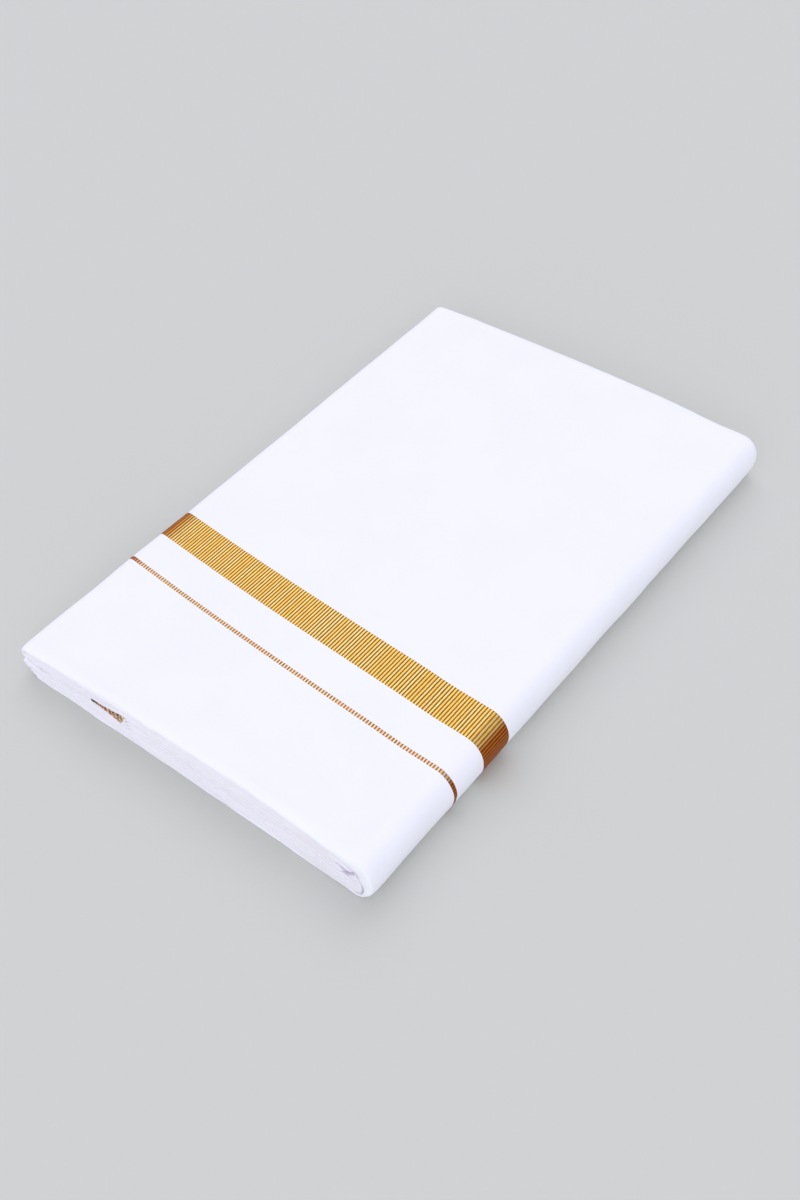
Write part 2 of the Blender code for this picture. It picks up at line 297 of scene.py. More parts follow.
def creaseDepth(x, y, z):
    depth = np.zeros(np.broadcast(x, y).shape)
    above = ease((z - 0.012) / 0.006)
    for crease in creases["top"]:
        away, fade = nearLine(x, y, crease)
        depth = depth + crease[5] * np.exp(-away**2) * fade * above
    side = ease((x - 0.1085) / 0.004) * ease((z - 0.003) / 0.004)
    for crease in creases["spine"]:
        away, fade = nearLine(z, y, crease)
        depth = depth + crease[5] * np.exp(-away**2) * fade * side
    depth = depth + 0.00012 * broadWaves(y + 0.3 * x) * above
    lips = ease((-0.112 - x) / 0.005) * ease((z - 0.003) / 0.003)
    return depth + 0.00022 * sideWaves(y - 2 * z) * (lips + side)


sheets = {
    "rollLength": 0.0060,  # the strip turns down over this much of its ends
    "rollDepth": 0.0019,
    "noseReach": 0.0009,
    "endShort": 0.0005,
    "endUneven": 0.0004,
    "cloth": 0.00045,
    "rowStep": 0.0026,
    "noseAngles": (180, 158, 135, 112, 90, 68, 45, 22, 0),
}
# The near end of the outer strip: a stretch of its path and the share along it, how much thicker
# the bundle is there, its share of the roll and how far it stands out
nearEnd = [
    ("tuck", 0.0, 0.0, 0.1, 0.0), ("upperLip", 0.0, 0.0, 0.1, 0.0),
    ("upperLip", 0.5, 0.0, 0.4, 0.0), ("upperLip", 0.85, 0.0, 0.8, 0.0),
    ("top", 0.0, 0.0, 0.9, 0.0), ("top", 0.12, 0.0, 1.0, 0.0), ("top", 0.65, 0.0, 1.0, 0.0),
    ("top", 0.84, 0.0, 0.8, 0.0007), ("top", 0.91, 0.0, 0.6, 0.0012), ("top", 0.962, 0.0020, 0.5, 0.0016),
    ("spine", 0.0, 0.0053, 0.45, 0.0015), ("spine", 0.25, 0.0064, 0.4, 0.0013),
    ("spine", 0.5, 0.0063, 0.4, 0.0012), ("spine", 0.64, 0.0036, 0.4, 0.0012),
    ("spine", 0.75, 0.0016, 0.4, 0.0012), ("spine", 0.84, 0.0004, 0.4, 0.0012),
    ("spine", 0.94, 0.0, 0.4, 0.0010), ("underside", 0.15, 0.0, 0.4, 0.0006),
    ("underside", 0.4, 0.0, 0.4, 0.0), ("bottomFold", 1.0, 0.0, 0.4, 0.0),
]


def farRoll(run):
    # The far end turns down less at the open side's lip
    lipEnd = outer.ends["upperLip"][1]
    return 0.25 + 0.75 * ease((run - lipEnd + 0.006) / 0.022)


def farPull(x):
    # The far corner of the open side is drawn in
    return 0.0030 * (1 - ease((x + 0.119) / 0.030))


def nearEndAt(run, column):
    stretches = [(outer.ends[name], share) for name, share, *_ in nearEnd]
    places = [start + share * (end - start) for (start, end), share in stretches]
    return np.interp(run, places, [row[column] for row in nearEnd])


outerSteps = (
    ("tuck", 5), ("upperLip", 26), ("top", 100), ("spine", 44), ("underside", 62), ("bottomFold", 26),
)


def clothPoints(section, run, y, depth, roll=1.0, creased=True):
    x, z = section.at(run)
    outX, outZ = section.outward(run)
    rolled = np.maximum((np.abs(y) - pack["length"] / 2 + sheets["rollLength"]) / sheets["rollLength"], 0)
    held = ease(z / pack["flatHeight"])
    depth = depth + roll * sheets["rollDepth"] * rolled**2 * held
    if creased:
        depth = depth + creaseDepth(x, y, z)
    x = x - outX * depth
    z = z - outZ * depth
    return np.stack(np.broadcast_arrays(x, y, swayed(x, y, z)), -1)


def newMesh(name, points, faces, uvs, finishes, faceFinish=None, sunk=None):
    # points and uvs are one row a vertex; the UV map is the place on the cloth in metres
    mesh = bpy.data.meshes.new(name)
    mesh.from_pydata(points.reshape(-1, 3).tolist(), [], faces)
    layer = mesh.uv_layers.new(name="cloth")
    corners = np.empty(len(mesh.loops), np.int32)
    mesh.loops.foreach_get("vertex_index", corners)
    layer.data.foreach_set("uv", uvs.reshape(-1, 2)[corners].ravel().astype(np.float32))
    for finish in finishes:
        mesh.materials.append(finish)
    if faceFinish is not None:
        mesh.polygons.foreach_set("material_index", np.asarray(faceFinish, np.int32))
    if sunk is not None:
        # How deep a point lies in a crease; the cotton of the ends is given painted shade by it
        mesh.attributes.new("sunk", "FLOAT", "POINT").data.foreach_set("value", sunk.astype(np.float32))
    mesh.validate()
    mesh.shade_smooth()
    piece = bpy.data.objects.new(name, mesh)
    bpy.context.scene.collection.objects.link(piece)
    return piece


def gridFaces(rows, columns):
    base = np.arange(rows - 1)[:, None] * columns + np.arange(columns - 1)[None, :]
    quads = np.stack([base, base + 1, base + columns + 1, base + columns], -1)
    return quads.reshape(-1, 4).tolist()


def crisp(piece):
    # Rims keep their own shading, so that a face beside one doesn't darken
    piece.data.set_sharp_from_angle(angle=math.radians(60))


def thicken(piece, thickness):
    wall = piece.modifiers.new("cloth", "SOLIDIFY")
    wall.thickness = thickness
    wall.offset = -1
    bpy.context.view_layer.objects.active = piece
    bpy.ops.object.modifier_apply(modifier="cloth")
    crisp(piece)


def endNose(run, side, seed, halfThick, out=0.0):
    # Rows of y and depth from inside the pack round the strip's folded end to its outer face
    uneven = softWaves(seed, 0.012, 0.160)(run)
    tip = pack["length"] / 2 - sheets["endShort"] - sheets["endUneven"] * (1 + uneven) * 0.6 + out
    rows = [(tip - 0.010, 2 * halfThick), (tip - 0.0045, 2 * halfThick)]
    for angle in sheets["noseAngles"]:
        turn = math.radians(angle)
        rows.append((tip - sheets["noseReach"] * (1 - math.sin(turn)), halfThick * (1 - math.cos(turn))))
    return [(side * y, depth) for y, depth in rows]


def spread(length, fineFrom):
    # Shares of a length with a row of points, closer towards the end that rolls
    fine = [0.0009, 0.0018, 0.0028, 0.0039, 0.0052, 0.0068]
    stepped = np.linspace(0.0092, length, max(int((length - 0.0092) / sheets["rowStep"]), 2))
    shares = np.concatenate([fine, stepped]) / length
    return shares if fineFrom == "start" else 1 - shares[::-1]


def slanted(y, run):
    past = run - middleRun
    return y - border["slant"] * past - border["bow"] * np.cos(2 * math.pi * past / border["bowLength"])


def outerHalf(run):
    return stripThickness(*outer.at(run)) * 0.47


def stripSheet(name, run, near, far, finishes, rows=None, raised=None):
    # near and far are a y where the sheet stops at another piece, or None where it ends in its fold
    grid = []
    if near is None:
        grid += endNose(run, -1, 11, outerHalf(run) + nearEndAt(run, 2) / 2, nearEndAt(run, 4))
    if far is None:
        nose = endNose(run, 1, 12, outerHalf(run), -farPull(outer.at(run)[0]))[::-1]
    start = grid[-1][0] if near is None else near(run)
    stop = nose[0][0] if far is None else far(run)
    if near is not None:
        grid.append((start, 0.0 * run))
    length = float(np.mean(stop - start))
    if rows is not None:
        shares = np.linspace(0, 1, rows)[1:]
    else:
        shares = spread(length, "start" if near is None else "end")
        if near is not None:
            shares = np.append(shares[1:] if shares[0] <= 0 else shares, 1.0)
    for share in shares[:-1]:
        grid.append((start * (1 - share) + stop * share, 0.0 * run))
    grid.append((stop, 0.0 * run))
    if far is None:
        grid += nose[1:]
    y = np.stack([row[0] + 0.0 * run for row in grid])
    depth = np.stack([row[1] + 0.0 * run for row in grid])
    if raised is not None:
        depth = depth - raised(np.broadcast_to(run, y.shape), y)
    roll = np.where(y < 0, nearEndAt(run, 3), farRoll(run))
    points = clothPoints(outer, run[None, :], y, depth, roll)
    uvs = np.stack([np.broadcast_to(run, y.shape), y - np.sign(y) * np.minimum(depth, 0.012)], -1)
    piece = newMesh(name, points, gridFaces(len(grid), len(run)), uvs, finishes)
    thicken(piece, sheets["cloth"])
    return piece


def declare(piece, node):
    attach(piece, "root")
    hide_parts(node)


# Finishes

class Flow:
    # One output of a shader node, so that an expression on values adds its Math nodes
    def __init__(self, finish, socket):
        self.finish, self.socket = finish, socket

    def calc(self, operation, *others):
        return self.finish.node("ShaderNodeMath", {"operation": operation}, dict(enumerate((self, *others))))

    def __add__(self, other):
        return self.calc("ADD", other)

    def __sub__(self, other):
        return self.calc("SUBTRACT", other)

    def __rsub__(self, other):
        return self.finish.node("ShaderNodeMath", {"operation": "SUBTRACT"}, {0: other, 1: self})

    def __mul__(self, other):
        return self.calc("MULTIPLY", other)

    def __truediv__(self, other):
        return self.calc("DIVIDE", other)

    def __abs__(self):
        return self.calc("ABSOLUTE")

    __radd__ = __add__
    __rmul__ = __mul__

    def sine(self):
        return self.calc("SINE")

    def floor(self):
        return self.calc("FLOOR")

    def fraction(self):
        return self.calc("FRACT")

    def highest(self, other):
        return self.calc("MAXIMUM", other)

    def step(self, low, high):
        # 0 below low, 1 above high and smooth between them
        return self.finish.node(
            "ShaderNodeMapRange", {"interpolation_type": "SMOOTHSTEP"},
            {"Value": self, "From Min": low, "From Max": high})


class Finish:
    def __init__(self, name, **constants):
        self.material = bpy.data.materials.new(name)
        self.material.use_nodes = True
        self.nodes, self.links = self.material.node_tree.nodes, self.material.node_tree.links
        self.shader = self.nodes["Principled BSDF"]
        for socket, value in constants.items():
            self.feed(self.shader.inputs[socket.replace("_", " ")], value)

    def feed(self, socket, value):
        if isinstance(value, Flow):
            self.links.new(value.socket, socket)
        else:
            socket.default_value = value

    def node(self, kind, settings, values, output=0):
        made = self.nodes.new(kind)
        for name, value in settings.items():
            setattr(made, name, value)
        for socket, value in values.items():
            self.feed(made.inputs[socket], value)
        return Flow(self, made.outputs[output])

    def place(self, kind="cloth"):
        # u and v on the cloth, in metres, or the place in the pack
        if kind == "cloth":
            at = self.node("ShaderNodeUVMap", {"uv_map": "cloth"}, {})
        else:
            at = self.node("ShaderNodeTexCoord", {}, {}, "Object")
        return at, [self.node("ShaderNodeSeparateXYZ", {}, {0: at}, axis) for axis in (0, 1, 2)]

    def together(self, x, y, z=0.0):
        return self.node("ShaderNodeCombineXYZ", {}, {0: x, 1: y, 2: z})

    def noise(self, at, scale, detail=3.0, roughness=0.5):
        return self.node("ShaderNodeTexNoise", {}, {
            "Vector": at, "Scale": scale, "Detail": detail, "Roughness": roughness})

    def mix(self, share, first, second, mode="MIX"):
        first, second = [(*c, 1.0) if isinstance(c, tuple) else c for c in (first, second)]
        return self.node("ShaderNodeMix", {"data_type": "RGBA", "blend_type": mode},
                         {0: share, 6: first, 7: second}, 2)

    def bump(self, height, distance, strength=1.0):
        return self.node("ShaderNodeBump", {}, {"Height": height, "Distance": distance, "Strength": strength})

    def set(self, socket, value):
        self.feed(self.shader.inputs[socket], value)


cotton = {
    "light": (0.950, 0.958, 0.998),
    "shade": (0.930, 0.940, 0.985),
    "paintedShadeEndLight": (0.912, 0.900, 0.928),  # painted shade: a darker copy of the white cotton, for the pack's two ends
    "paintedShadeEndDark": (0.890, 0.876, 0.912),
    "deep": (0.66, 0.62, 0.715),  # painted shade, down in their creases
    "thread": 0.00036,
    "weaveDepth": 0.00004,
    "slub": 0.018,
}


def cottonFinish(name, light, shade, deep=None):
    # the last argument is the colour of painted shade down in the creases of the pack's two ends
    finish = Finish(name, Roughness=0.86)
    finish.set("Sheen Weight", 0.25)
    finish.set("Sheen Roughness", 0.45)
    finish.set("Specular IOR Level", 0.25)
    at, (u, v, _) = finish.place()
    turn = math.pi / cotton["thread"]
    over = (u * turn).sine() * (v * turn).sine()
    warp = (0.5 + 0.5 * (u * (2 * turn) + math.pi / 2).sine()) * (0.5 + 0.5 * over)
    weft = (0.5 + 0.5 * (v * (2 * turn) + math.pi / 2).sine()) * (0.5 - 0.5 * over)
    slubs = finish.noise(finish.together(u * 60.0, v * 1500.0), 1.0, 2.0)
    crossSlubs = finish.noise(finish.together(u * 1500.0, v * 60.0), 1.0, 2.0)
    fuzz = finish.noise(at, 5200.0, 2.0, 0.6)
    height = warp.highest(weft) + 0.5 * slubs + 0.5 * crossSlubs + 0.35 * fuzz
    finish.set("Normal", finish.bump(height, cotton["weaveDepth"], 0.55))
    clouds = finish.noise(finish.place("pack")[0], 26.0, 4.0, 0.55)
    tone = (clouds * 0.7 + slubs * 0.15 + crossSlubs * 0.15).step(0.32, 0.68)
    color = finish.mix(tone, shade, light)
    if deep:
        # Painted shade: the colour goes towards the crease shade where a point lies deep in a crease
        sunk = finish.node("ShaderNodeAttribute", {"attribute_name": "sunk"}, {}, "Fac")
        color = finish.mix(sunk.step(0.0001, 0.0014), color, deep)
    finish.set("Base Color", color)
    return finish.material


gold = {
    "crest": (1.0, 0.86, 0.36),
    "warm": (1.0, 0.67, 0.16),
    # groove: partly the darker thread between the ribs, partly painted shade of their sides
    "groove": (0.37, 0.145, 0.012),
    "deep": (0.56, 0.215, 0.010),  # painted shade where the border turns down at its two ends
    "thread": 0.00034,
    "tick": 0.00120,  # uneven stops along a rib
    "roughness": 0.34,
    "metallic": 0.88,
    "lensMetallic": 0.5,
    "line": {"grooveWidth": 0.36, "crest": (1.0, 0.80, 0.50), "groove": (0.30, 0.150, 0.055),
             "warm": (0.95, 0.64, 0.38)},
}


# The fold of the border that shows in the lens
innerFold = {
    "start": -0.0674,
    "end": -0.0423,
    "goldFrom": -0.0632,  # painted shade, near black, in the narrow tip before it
    "recess": 0.0003,
    "length": 0.0060,
    "stations": 110,
    "ringSteps": 14,
    "pitch": 0.0027,
    "lean": 0.7,  # the ribs of its two bars lean apart
    "cornerColor": (1.0, 0.90, 0.62),
    "tipPaintedShade": (0.045, 0.035, 0.05),
    "ribs": {"grooveWidth": 0.36, "crest": (1.0, 0.88, 0.50), "groove": (0.085, 0.042, 0.022),
             "warm": (1.0, 0.56, 0.34)},
}


def zariFinish(name, grooveWidth=0.42, crest=None, groove=None, warm=None, pitch=None, inLens=False):
    # Ribs run across the border, one a pitch along the cloth; fine metal threads cross them
    finish = Finish(name, Metallic=gold["lensMetallic"] if inLens else gold["metallic"])
    pitch = pitch or border["ribPitch"]
    crest, groove = crest or gold["crest"], groove or gold["groove"]
    at, (u, v, _) = finish.place()
    counted = u / pitch
    rib = counted.floor()
    away = abs(counted.fraction() - 0.5) * 2  # 0 on the crest, 1 in the groove
    draw = finish.node("ShaderNodeTexWhiteNoise", {"noise_dimensions": "1D"}, {"W": rib}, 0)
    rough = finish.noise(finish.together(u * 900.0, v * 260.0), 1.0, 3.0, 0.6)
    unevenAway = away + (rough - 0.5) * 0.5 + (draw - 0.5) * 0.16
    dark = unevenAway.step(1 - grooveWidth - 0.2, 1 - grooveWidth + 0.22)
    threads = (v * (2 * math.pi / gold["thread"]) + rib * 2.1).sine() * 0.5 + 0.5
    glint = finish.noise(finish.together(rib * 3.7, v * 900.0), 1.0, 2.0, 0.7)
    light = finish.mix((draw * 0.6 + glint * 0.7 - 0.25).step(0.1, 0.8), warm or gold["warm"], crest)
    light = finish.mix(threads * 0.28, light, groove)
    ticks = (v * (2 * math.pi / gold["tick"]) + rib * 2.4 + rough * 5.0).sine() * 0.5 + 0.5
    light = finish.mix(ticks * ticks * 0.34, light, groove)
    # The grooves take the groove colour: partly the darker thread between the ribs, partly painted shade of
    # the ribs' sides
    color = finish.mix(dark, light, groove)
    x, z = [finish.place("pack")[1][axis] for axis in (0, 2)]
    if inLens:
        specks = finish.noise(finish.together(u * 620.0, v * 620.0), 1.0, 1.0)
        color = finish.mix(specks.step(0.51, 0.60) * 0.85, color, groove)
        corner = x.step(-0.0462, -0.0442) * z.step(0.0130, 0.0160)
        color = finish.mix(corner * 0.8, color, innerFold["cornerColor"])
        # Painted shade: the narrow tip before the gold is coloured near black
        tip = 1 - x.step(innerFold["goldFrom"] - 0.001, innerFold["goldFrom"])
        color = finish.mix(tip, color, innerFold["tipPaintedShade"])
    else:
        # Painted shade: the gold is darkened on the spine's side and on the open side, where the border turns
        # down
        spineSideShade = x.step(0.108, 0.112) * (1 - z.step(0.0228, 0.0266))
        openSideShade = 1 - (x - 0.012 * (1 - z.step(0.005, 0.011))).step(-0.1180, -0.1070)
        side = spineSideShade.highest(openSideShade * 0.94)
        color = finish.mix(side * 0.97, color, finish.mix(1.0, color, gold["deep"], "MULTIPLY"))
    finish.set("Base Color", color)
    finish.set("Roughness", gold["roughness"] + 0.22 * dark + 0.10 * rough)
    height = (1 - away).step(0.0, 0.6) * 1.0 + threads * 0.22 * (1 - dark) + rough * 0.25
    finish.set("Normal", finish.bump(height, 0.00016, 0.7))
    return finish.material


whiteCotton = cottonFinish("whiteCotton", cotton["light"], cotton["shade"])
# Painted shade: the pack's two ends get a darker copy of the white cotton, and painted shade in their creases
shadedEndCotton = cottonFinish("shadedEndCotton", cotton["paintedShadeEndLight"], cotton["paintedShadeEndDark"], cotton["deep"])
goldZari = zariFinish("goldZari")
goldLine = zariFinish("goldLine", **gold["line"])
innerGold = zariFinish("innerGold", pitch=innerFold["pitch"], inLens=True, **innerFold["ribs"])
print("finishes made")

# The outer strip's pieces

lineNear = border["lineMiddle"] - border["lineWidth"] / 2
lineFar = border["lineMiddle"] + border["lineWidth"] / 2
plainRuns = outer.columns(outerSteps)
pathLength = float(outer.runs[-1])


def nearOf(y):
    return lambda run: slanted(y, run)


def ribRuns(section, first, last, plain):
    # Six columns a rib between two runs, and the plain ones elsewhere
    pitch = border["ribPitch"]
    start = math.ceil(first / pitch)
    count = int(last / pitch) - start
    phases = np.array([0.0, 0.14, 0.28, 0.5, 0.72, 0.86])
    ribs = ((start + np.arange(count))[:, None] + phases[None, :]).ravel() * pitch
    return np.concatenate([plain[plain < ribs[0] - 0.0004], ribs, plain[plain > ribs[-1] + 0.0004]])


def ribRise(rise, edges):
    # The ribs stand a little above the white cloth and die out at the border's two edges
    def raised(run, y):
        _, z = outer.at(run)
        phase = (run / border["ribPitch"]) % 1.0
        crest = np.sin(math.pi * phase) ** 0.7
        start, stop = [slanted(edge, run) for edge in edges]
        across = np.minimum((y - start), (stop - y))
        return rise * (crest - 0.35) * ease(across / 0.0007) * ease(z / 0.003)
    return raised


ribFirst, ribLast = outer.ends["upperLip"][0], outer.ends["spine"][1]
ribbedRuns = ribRuns(outer, ribFirst, ribLast, plainRuns)

frontCloth = stripSheet("frontCloth", plainRuns, None, nearOf(lineNear), [whiteCotton])
zariLine = stripSheet("zariLine", ribbedRuns, nearOf(lineNear), nearOf(lineFar), [goldLine], rows=7,
                      raised=ribRise(border["lineRise"], (lineNear, lineFar)))
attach(zariLine, "root")
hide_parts("zari_line")
declare(frontCloth, "front_wrap")
middleCloth = stripSheet("middleCloth", plainRuns, nearOf(lineFar), nearOf(border["bandNear"]),
                         [whiteCotton], rows=11)
declare(middleCloth, "middle_wrap")
zariBand = stripSheet("zariBand", ribbedRuns, nearOf(border["bandNear"]), nearOf(border["bandFar"]),
                      [goldZari], rows=17,
                      raised=ribRise(border["ribRise"], (border["bandNear"], border["bandFar"])))
declare(zariBand, "zari_band")
farCloth = stripSheet("farCloth", plainRuns, nearOf(border["bandFar"]), None, [whiteCotton])
declare(farCloth, "far_wrap")
print("outer strip made")

# The folds low on the open side and in the notch, which run the whole length

longFolds = {
    "halfThick": 0.00042,
    "roll": 0.35,
    "rowStep": 0.0042,
}


def longFold(name, section, steps, recess):
    run = section.columns(steps)
    # The border's four edges are taken straight across at this fold
    shift = -border["slant"] * (pathLength - middleRun)
    marks = [y + shift for y in (lineNear, lineFar, border["bandNear"], border["bandFar"])]
    near = endNose(run, -1, 21, longFolds["halfThick"])
    far = endNose(run, 1, 22, longFolds["halfThick"], -farPull(section.at(run)[0]))[::-1]
    grid, finish = [(y + recess, depth) for y, depth in near], [0] * (len(near) - 1)
    places = [float(np.mean(grid[-1][0]))] + marks + [float(np.mean(far[0][0])) - recess]
    for start, stop, kind in zip(places, places[1:], (0, 2, 0, 1, 0)):
        count = max(int((stop - start) / longFolds["rowStep"]), 2)
        for step in range(1, count + 1):
            grid.append((start + (stop - start) * step / count, 0.0))
            finish.append(kind)
    grid[-1] = (far[0][0] - recess, 0.0)
    grid += [(y - recess, depth) for y, depth in far[1:]]
    finish += [0] * (len(far) - 1)
    y = np.stack([row[0] + 0.0 * run for row in grid])
    depth = np.stack([row[1] + 0.0 * run for row in grid])
    wander = softWaves(31 + len(name), 0.020, 0.120)(y)
    points = clothPoints(section, run[None, :], y, depth, longFolds["roll"], False)
    points[..., 0] += 0.00035 * wander * ease((-0.100 - points[..., 0]) / 0.012)
    uvs = np.stack([np.broadcast_to(run, y.shape), y], -1)
    faceFinish = np.repeat(finish, len(run) - 1)
    piece = newMesh(name, points, gridFaces(len(grid), len(run)), uvs,
                    [whiteCotton, goldZari, goldLine], faceFinish)
    thicken(piece, 0.0003)
    return piece


lowerFolds = longFold("lowerFolds", lowerFold, (("edges", 60), ("fold", 44)), -0.0002)
declare(lowerFolds, "hidden_layers")
notchFolds = longFold("notchFolds", notchFold, (("fold", 26),), 0.0018)
declare(notchFolds, "hidden_layers")
print("long folds made")

# The strips' folded ends, which show in layers at the near and far sides

ends = {
    "depth": 0.014,
    "noseReach": 0.0008,
    "noseDepth": {"near": 0.0018, "far": 0.0030},  # how far the strips draw back towards the seam
    "noseShare": 0.375,
    "uneven": 0.00036,
    "filled": 0.97,  # share of a strip's room that it fills
    "step": 0.0017,
    "fineStep": 0.00055,
    "ringAngles": (-90, -72, -54, -36, -18, 0, 18, 36, 54, 72, 90),
    "dent": 0.00036,
    "lensEnd": (-0.0490, -0.0395),  # x of the fine places by the lens
    "spineFrom": 0.088,  # x of the first fine place by the spine
}
# Creases of the near side by the spine: x, height to x, height, width and depth
endCreases = [
    (0.0987, 0.0156, 0.1007, 0.0145, 0.0016, 0.0024),
    (0.1007, 0.0145, 0.1024, 0.0130, 0.0019, 0.0030),
    (0.1024, 0.0130, 0.1058, 0.0146, 0.0018, 0.0026),
    (0.1058, 0.0148, 0.1086, 0.0180, 0.0009, 0.0013),
    (0.1026, 0.0203, 0.1062, 0.0198, 0.0016, -0.0002),
    (0.0950, 0.0225, 0.1045, 0.0205, 0.0012, 0.0005),
    (0.1107, 0.0029, 0.1131, 0.0051, 0.0007, -0.0009),
    (0.1127, 0.0027, 0.1145, 0.0045, 0.0006, 0.0012),
]


def armPoint(k, x, upperArm, near):
    level = 1 - (k + 0.5) / pack["strips"]
    upper, lower = seams(x, near, level)
    if upperArm:
        return upper + (topHeight(x) - upper) * level, (topHeight(x) - upper) / pack["strips"]
    return lower * (1 - level), lower / pack["strips"]


def stations(low, high, near):
    # Places along an arm, closer together at the lens's end and by the near end of the spine
    x, at = [], low
    stops = (*ends["lensEnd"], ends["spineFrom"], high)
    for stop, kind in zip(stops, ("step", "fineStep", "step", "fineStep")):
        stop = min(stop, high)
        if stop > at:
            x.append(np.linspace(at, stop, int((stop - at) / ends[kind if near else "step"]) + 2)[:-1])
            at = stop
    return np.append(np.concatenate(x), high)


def armLine(k, start, end, upperArm, near):
    x = stations(min(start, end), max(start, end), near)
    z, thick = armPoint(k, x, upperArm, near)
    line = np.stack([x, z, thick / np.hypot(1, np.gradient(z, x)) ** 0.2], 1)
    return line if start < end else line[::-1]


def spineLine(k, downwards, near):
    level = 1 - (k + 0.5) / pack["strips"]
    upper, upperThick = armPoint(k, np.array(spineX), True, near)
    lower, lowerThick = armPoint(k, np.array(spineX), False, near)
    middle = seamHeight(spineX) + (spineHalf - seamHeight(spineX)) * level
    angles = np.radians(np.linspace(90, -90, 14 + 5 * (pack["strips"] - k))[1:-1])
    rise = np.where(angles > 0, upper - middle, middle - lower)
    thick = pack["spineReach"] / pack["strips"]
    share = np.abs(np.sin(angles))
    thick = thick * (1 - share) + np.where(angles > 0, upperThick, lowerThick) * share
    x = spineX + pack["spineReach"] * level * np.cos(angles)
    line = np.stack([x, middle + rise * np.sin(angles), thick], 1)
    return line if downwards else line[::-1]


def turnLine(outerK, innerK, upperArm, centreX, reach, near, downwards):
    # Round the open side from one strip to the other; downwards is from the higher strip to the lower
    z1, thick1 = armPoint(outerK, np.array(centreX), upperArm, near)
    z2, thick2 = armPoint(innerK, np.array(centreX), upperArm, near)
    high, low = max(z1, z2), min(z1, z2)
    angles = np.radians(np.linspace(90, 270, 12)[1:-1])
    x = centreX + reach * np.cos(angles)
    z = (high + low) / 2 + (high - low) / 2 * np.sin(angles)
    line = np.stack([x, z, np.full(len(x), (thick1 + thick2) / 2)], 1)
    return line if downwards else line[::-1]


def stripRoutes(near):
    upperTurnX, lowerTurnX = lipX, -pack["width"] / 2 + 0.0044
    upperReach = pack["lipReach"] / 4

    def upperTurn(k):
        return turnLine(k, 7 - k, True, upperTurnX, upperReach * (4 - k - 0.5), near, True)

    first = [
        armLine(2, -0.1065, spineX, False, near), spineLine(2, False, near),
        armLine(2, spineX, upperTurnX, True, near), upperTurn(2),
        armLine(5, upperTurnX, spineX, True, near), spineLine(5, True, near),
        armLine(5, spineX, lowerTurnX, False, near), turnLine(6, 5, False, lowerTurnX, 0.0022, near, False),
        armLine(6, lowerTurnX, spineX, False, near), spineLine(6, False, near),
        armLine(6, spineX, upperTurnX, True, near), upperTurn(1)[::-1],
        armLine(1, upperTurnX, spineX, True, near), spineLine(1, True, near),
        armLine(1, spineX, -0.1065, False, near),
    ]
    second = [
        armLine(7, -0.1085, spineX, True, near), spineLine(7, True, near),
        armLine(7, spineX, -0.1065, False, near),
    ]
    third = [
        armLine(4, -0.1100, spineX, False, near), spineLine(4, False, near),
        armLine(4, spineX, upperTurnX, True, near), upperTurn(3)[::-1],
        armLine(3, upperTurnX, spineX, True, near), spineLine(3, True, near),
        armLine(3, spineX, -0.1090, False, near),
    ]
    levels = ((2, 2, 2, 3.5, 5, 5, 5, 5.5, 6, 6, 6, 3.5, 1, 1, 1), (7, 7, 7), (4, 4, 4, 3.5, 3, 3, 3))
    routes = []
    for route, partLevels in zip((first, second, third), levels):
        level = np.concatenate([np.full(len(part), value) for part, value in zip(route, partLevels)])
        routes.append((np.concatenate(route), level))
    return routes


bundleRuns = np.linspace(outer.ends["top"][1] - 0.030, outer.ends["spine"][1], 240)
bundleX, bundleZ = outer.at(bundleRuns)
bundleThick = 2 * outerHalf(bundleRuns) + nearEndAt(bundleRuns, 2)


def underBundle(x, z):
    # How deep a point of the near side lies inside the thick end of the outer strip, less than 0 outside it
    away = np.hypot(x[..., None] - bundleX, z[..., None] - bundleZ)
    nearest = away.argmin(-1)
    return bundleThick[nearest] - away.min(-1)


def endBack(x, z, level, near):
    # How far a strip's end lies behind the pack's end
    share = (level + 0.5) / pack["strips"]
    back = ends["noseDepth"]["near" if near else "far"]
    back = back * (np.abs(share - ends["noseShare"]) / (1 - ends["noseShare"])) ** 3
    if near:
        back = back * (1 - 0.85 * swell(x, -0.056, 0.026)) * (1 - 0.85 * ease((-0.088 - x) / 0.016))
        return back - 0.0009 * ease((x - 0.070) / 0.030)
    return back + farPull(x)


def endSunk(x, z):
    # How deep the near side's creases by the spine are
    depth = 0 * x
    for crease in endCreases:
        away, _ = nearLine(x, z, crease)
        depth = depth + crease[5] * np.exp(-away**2)
    hidden = 0.0010 + 0.0030 * ease((x - 0.1035) / 0.003)
    reach = 0.0026 + 0.0014 * ease((z - 0.012) / 0.006)
    return depth + hidden * ease((underBundle(x, z) + reach) / 0.0030) * ease((x - 0.094) / 0.010)


